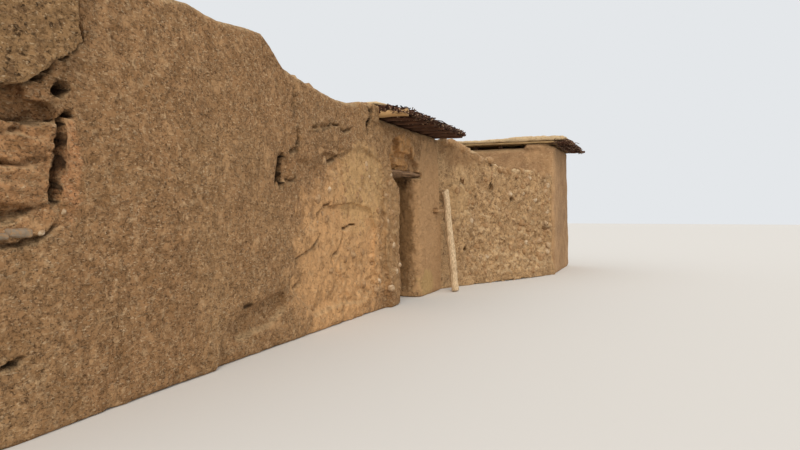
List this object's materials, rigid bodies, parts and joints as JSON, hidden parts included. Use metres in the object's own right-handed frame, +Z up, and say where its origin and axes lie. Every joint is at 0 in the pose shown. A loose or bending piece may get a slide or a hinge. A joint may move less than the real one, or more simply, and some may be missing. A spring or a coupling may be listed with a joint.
{
  "type": "adobe house",
  "caption": "Weathered rammed-earth and adobe house: a long flat-roofed room, an entrance with a brushwood eave, a walled court with a ruined front wall, and a small roofed room.",
  "frame": {"origin": "middle of the ground plan, at ground level", "axes": "+X along the front towards the small room, +Y from the entrance front to the back, +Z up"},
  "size_m": [16.0847, 5.655, 3.2881],
  "materials": {
    "rammed_earth": "matt",
    "mud_render": "matt",
    "mud_plaster": "matt",
    "rubble_and_mud": "matt",
    "field_stone": "matt",
    "roof_mud": "matt",
    "lintel_wood": "matt",
    "pole_wood": "matt",
    "cane": "matt",
    "brushwood": "matt",
    "weathered_wood": "matt"
  },
  "bodies": {
    "root": {"front_wall": "rammed_earth", "render_lobe": "mud_render", "door_pier_left": "mud_plaster", "door_pier_right": "mud_plaster", "wall_over_door": "mud_plaster", "door_lintel": "lintel_wood", "ledge_stone": "field_stone", "left_end_wall": "rammed_earth", "back_wall": "rammed_earth", "court_side_wall_front": "rammed_earth", "court_side_wall_back": "rammed_earth", "wall_over_court_door": "rammed_earth", "court_door_lintel": "lintel_wood", "roof_poles": "pole_wood", "roof_canes": "cane", "mud_roof": "roof_mud", "eave_poles": "pole_wood", "eave_brush": "brushwood", "eave_mud_cap": "roof_mud", "ruined_court_wall": "rubble_and_mud", "court_back_wall": "rammed_earth", "leaning_post": "weathered_wood", "small_front_wall": "rammed_earth", "small_end_wall": "rammed_earth", "small_back_wall": "rammed_earth", "small_court_wall_front": "rammed_earth", "small_court_wall_back": "rammed_earth", "wall_over_small_door": "rammed_earth", "small_door_lintel": "lintel_wood", "small_roof_poles": "pole_wood", "small_roof_canes": "cane", "small_mud_roof": "roof_mud", "small_eave_poles": "pole_wood", "small_eave_brush": "brushwood"}
  },
  "joints": []
}
